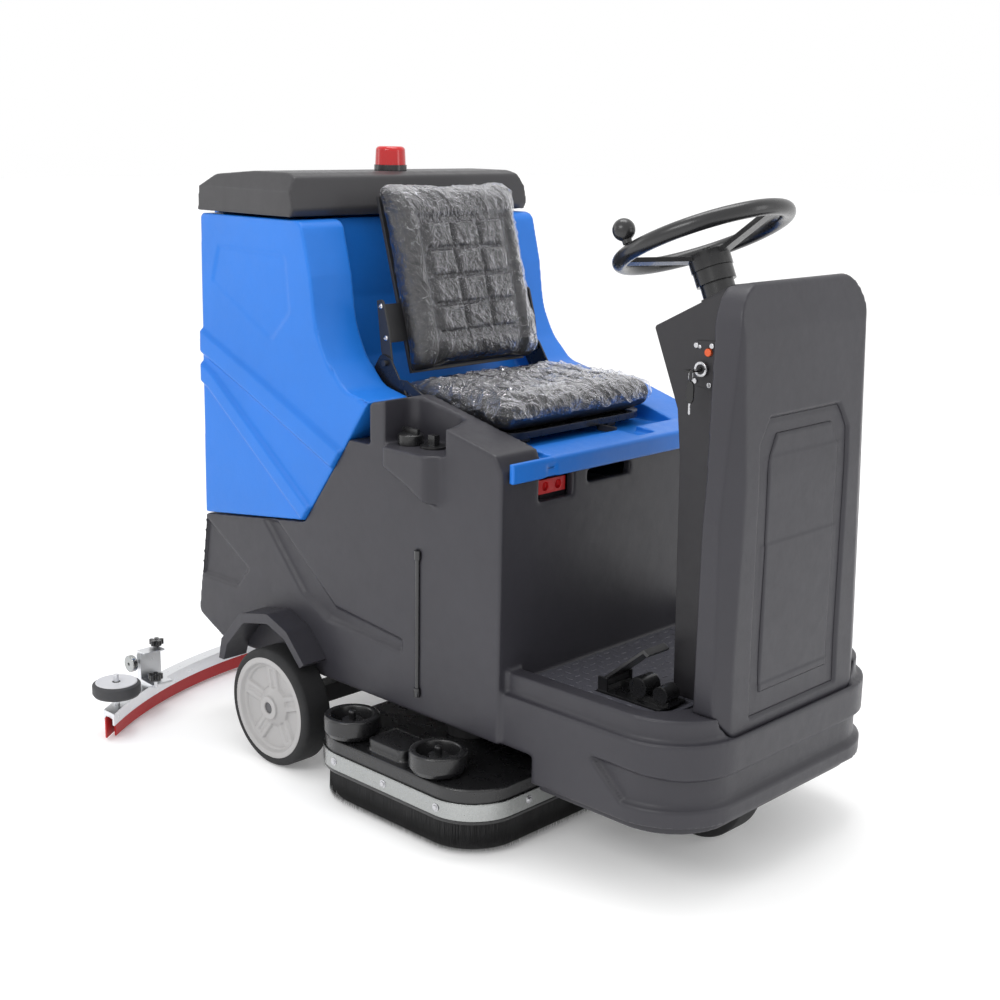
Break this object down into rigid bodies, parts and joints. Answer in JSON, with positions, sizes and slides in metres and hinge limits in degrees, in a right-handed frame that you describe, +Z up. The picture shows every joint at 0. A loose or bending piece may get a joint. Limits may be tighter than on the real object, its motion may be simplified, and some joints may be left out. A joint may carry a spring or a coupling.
{
  "type": "ride-on floor scrubber",
  "caption": "Battery ride-on floor scrubber with seat, steered drive wheel, disc brush deck, curved squeegee and recovery tank with a hinged lid.",
  "frame": {"origin": "on the floor, under the middle of the machine's box", "axes": "+X forward, +Y to the driver's left, +Z up"},
  "size_m": [1.63, 1.228, 1.3123],
  "materials": {
    "body_plastic": "textured rotomoulded plastic",
    "tank_plastic": "satin rotomoulded plastic",
    "column_plastic": "fine grained",
    "black_gloss": "moulded",
    "seat_vinyl": "moulded vinyl foam",
    "rim_plastic": "satin",
    "tyre": "matte",
    "grey_rubber": "matte",
    "frame_paint": "satin",
    "zinc": "galvanised",
    "aluminium": "satin",
    "steel": "satin",
    "red_rubber": "satin",
    "red_lens": "clear",
    "red_plastic": "moulded",
    "bristle": "bristles",
    "clear_tube": "clear",
    "orange_button": "moulded",
    "tread_paint": "tread plate"
  },
  "bodies": {
    "chassis": {"chassis_frame": "frame_paint", "lower_body": "body_plastic", "front_shroud": "body_plastic", "dash_column": "column_plastic", "dash_plates": "column_plastic", "recovery_tank": "tank_plastic", "vacuum_motor": "black_gloss", "rear_fenders": "body_plastic", "steering_column": "frame_paint", "floor_plate": "tread_paint", "pedal_base": "black_gloss", "level_tube": "clear_tube", "charge_connector": "red_plastic", "batteries": "black_gloss", "cover_screws": "steel", "lift_actuator": "zinc"},
    "tank_lid": {"tank_lid": "body_plastic", "beacon_base": "black_gloss", "beacon_lens": "red_lens"},
    "steering": {"steering_wheel": "column_plastic", "steering_shaft": "frame_paint"},
    "spinner": {"spinner_knob": "black_gloss"},
    "fork": {"steer_fork": "frame_paint"},
    "drive_wheel": {"drive_tyre": "tyre", "drive_hub": "aluminium"},
    "rear_wheel_left": {"rear_tyre_left": "tyre", "rear_rim_left": "rim_plastic"},
    "rear_wheel_right": {"rear_tyre_right": "tyre", "rear_rim_right": "rim_plastic"},
    "battery_cover": {"seat_deck": "tank_plastic"},
    "seat": {"seat_pan": "frame_paint", "seat_cushion": "seat_vinyl"},
    "seat_back": {"back_frame": "frame_paint", "back_cushion": "seat_vinyl"},
    "recline_lever": {"recline_lever": "frame_paint"},
    "slide_lever": {"slide_lever": "frame_paint"},
    "accelerator": {"accelerator_treadle": "tread_paint"},
    "brake": {"brake_pedal": "tread_paint"},
    "filler_cap": {"filler_cap": "black_gloss"},
    "valve_knob": {"valve_knob": "black_gloss"},
    "key": {"ignition_key": "steel"},
    "button": {"dash_button": "orange_button"},
    "scrub_deck": {"deck_housing": "column_plastic", "deck_band": "zinc", "bristle_skirt": "bristle", "brush_motors": "black_gloss"},
    "brush_left": {"brush_left": "bristle"},
    "brush_right": {"brush_right": "bristle"},
    "roller_front_left": {"guide_roller_front_left": "column_plastic"},
    "roller_front_right": {"guide_roller_front_right": "column_plastic"},
    "roller_rear_left": {"guide_roller_rear_left": "column_plastic"},
    "roller_rear_right": {"guide_roller_rear_right": "column_plastic"},
    "squeegee_arm": {"squeegee_arm": "frame_paint"},
    "squeegee": {"squeegee_channel": "aluminium", "squeegee_blades": "red_rubber", "star_knobs": "black_gloss"},
    "guide_wheel_left": {"guide_wheel_left": "grey_rubber"},
    "guide_wheel_right": {"guide_wheel_right": "grey_rubber"},
    "caster_left": {"caster_left": "rim_plastic"},
    "caster_right": {"caster_right": "rim_plastic"}
  },
  "joints": [
    {"name": "fork_steer", "type": "hinge", "parent": "chassis", "child": "fork", "pos_m": [0.655, 0, 0.3], "axis": [0, 0, 1], "range_deg": [-75, 75]},
    {"name": "steering_turn", "type": "hinge", "parent": "chassis", "child": "steering", "pos_m": [0.545, 0, 1.165], "axis": [-0.4019, 0, 0.9157], "range_deg": [-151, 151]},
    {"name": "spinner_spin", "type": "hinge", "parent": "steering", "child": "spinner", "pos_m": [0.48846, -0.15035, 1.15765], "axis": [-0.4019, 0, 0.9157], "continuous": true},
    {"name": "drive_spin", "type": "hinge", "parent": "fork", "child": "drive_wheel", "pos_m": [0.612, 0, 0.115], "axis": [0, 1, 0], "continuous": true},
    {"name": "rear_spin_left", "type": "hinge", "parent": "chassis", "child": "rear_wheel_left", "pos_m": [-0.241, 0.389, 0.13], "axis": [0, 1, 0], "continuous": true},
    {"name": "rear_spin_right", "type": "hinge", "parent": "chassis", "child": "rear_wheel_right", "pos_m": [-0.241, -0.389, 0.13], "axis": [0, 1, 0], "continuous": true},
    {"name": "lid_hinge", "type": "hinge", "parent": "chassis", "child": "tank_lid", "pos_m": [-0.558, 0, 1.168], "axis": [0, -1, 0], "range_deg": [0, 70]},
    {"name": "cover_hinge", "type": "hinge", "parent": "chassis", "child": "battery_cover", "pos_m": [0.379, 0, 0.726], "axis": [0, 1, 0], "range_deg": [0, 40]},
    {"name": "seat_slide", "type": "slide", "parent": "battery_cover", "child": "seat", "axis": [1, 0, 0], "range_m": [0, 0.06]},
    {"name": "seat_recline", "type": "hinge", "parent": "seat", "child": "seat_back", "pos_m": [-0.081, 0, 0.88], "axis": [0, 1, 0], "range_deg": [0, 25]},
    {"name": "recline_lever_lift", "type": "hinge", "parent": "seat", "child": "recline_lever", "pos_m": [-0.024, -0.215, 0.842], "axis": [0, -1, 0], "range_deg": [0, 20], "stiffness_Nm_per_rad": 0.8, "springref_deg": -20.05},
    {"name": "slide_lever_swing", "type": "hinge", "parent": "seat", "child": "slide_lever", "pos_m": [0.195, 0.068, 0.7615], "axis": [0, 0, 1], "range_deg": [0, 12], "stiffness_Nm_per_rad": 0.5, "springref_deg": -11.46},
    {"name": "accelerator_press", "type": "hinge", "parent": "chassis", "child": "accelerator", "pos_m": [0.524, -0.184, 0.344], "axis": [0, 1, 0], "range_deg": [0, 10], "stiffness_Nm_per_rad": 20, "springref_deg": -4.58},
    {"name": "brake_press", "type": "hinge", "parent": "chassis", "child": "brake", "pos_m": [0.524, 0.184, 0.344], "axis": [0, 1, 0], "range_deg": [0, 10], "stiffness_Nm_per_rad": 20, "springref_deg": -4.58},
    {"name": "filler_turn", "type": "hinge", "parent": "chassis", "child": "filler_cap", "pos_m": [0.082, -0.306, 0.757], "axis": [0, 0, 1], "range_deg": [0, 90]},
    {"name": "valve_turn", "type": "hinge", "parent": "chassis", "child": "valve_knob", "pos_m": [0.137, -0.296, 0.75], "axis": [0, 0, 1], "range_deg": [0, 90]},
    {"name": "key_turn", "type": "hinge", "parent": "chassis", "child": "key", "pos_m": [0.655, -0.14, 0.947], "axis": [0, -1, 0], "range_deg": [0, 60]},
    {"name": "button_press", "type": "slide", "parent": "chassis", "child": "button", "axis": [0, 1, 0], "range_m": [0, 0.003], "stiffness_N_per_m": 300, "springref_m": -0.002},
    {"name": "deck_lift", "type": "slide", "parent": "chassis", "child": "scrub_deck", "axis": [0, 0, 1], "range_m": [0, 0.04]},
    {"name": "brush_spin_left", "type": "hinge", "parent": "scrub_deck", "child": "brush_left", "pos_m": [0.165, 0.208, 0.1], "axis": [0, 0, 1], "continuous": true},
    {"name": "brush_spin_right", "type": "hinge", "parent": "scrub_deck", "child": "brush_right", "pos_m": [0.165, -0.208, 0.1], "axis": [0, 0, 1], "continuous": true},
    {"name": "roller_spin_front_left", "type": "hinge", "parent": "scrub_deck", "child": "roller_front_left", "pos_m": [0.27, 0.405, 0.166], "axis": [0, 0, 1], "continuous": true},
    {"name": "roller_spin_front_right", "type": "hinge", "parent": "scrub_deck", "child": "roller_front_right", "pos_m": [0.27, -0.405, 0.166], "axis": [0, 0, 1], "continuous": true},
    {"name": "roller_spin_rear_left", "type": "hinge", "parent": "scrub_deck", "child": "roller_rear_left", "pos_m": [0.015, 0.405, 0.166], "axis": [0, 0, 1], "continuous": true},
    {"name": "roller_spin_rear_right", "type": "hinge", "parent": "scrub_deck", "child": "roller_rear_right", "pos_m": [0.015, -0.405, 0.166], "axis": [0, 0, 1], "continuous": true},
    {"name": "squeegee_lift", "type": "hinge", "parent": "chassis", "child": "squeegee_arm", "pos_m": [-0.455, 0, 0.172], "axis": [0, 1, 0], "range_deg": [0, 8]},
    {"name": "squeegee_swivel", "type": "hinge", "parent": "squeegee_arm", "child": "squeegee", "pos_m": [-0.703, 0, 0.11], "axis": [0, 0, 1], "range_deg": [-8, 8]},
    {"name": "guide_wheel_spin_left", "type": "hinge", "parent": "squeegee", "child": "guide_wheel_left", "pos_m": [-0.62147, 0.56, 0.107], "axis": [0, 0, 1], "continuous": true},
    {"name": "caster_spin_left", "type": "hinge", "parent": "squeegee", "child": "caster_left", "pos_m": [-0.72588, 0.454, 0.112], "axis": [0, 1, 0], "continuous": true},
    {"name": "guide_wheel_spin_right", "type": "hinge", "parent": "squeegee", "child": "guide_wheel_right", "pos_m": [-0.62147, -0.56, 0.107], "axis": [0, 0, 1], "continuous": true},
    {"name": "caster_spin_right", "type": "hinge", "parent": "squeegee", "child": "caster_right", "pos_m": [-0.72588, -0.454, 0.112], "axis": [0, 1, 0], "continuous": true}
  ],
  "couplings": [
    {"joint": "steering_turn", "follows": "fork_steer", "ratio": 2}
  ]
}
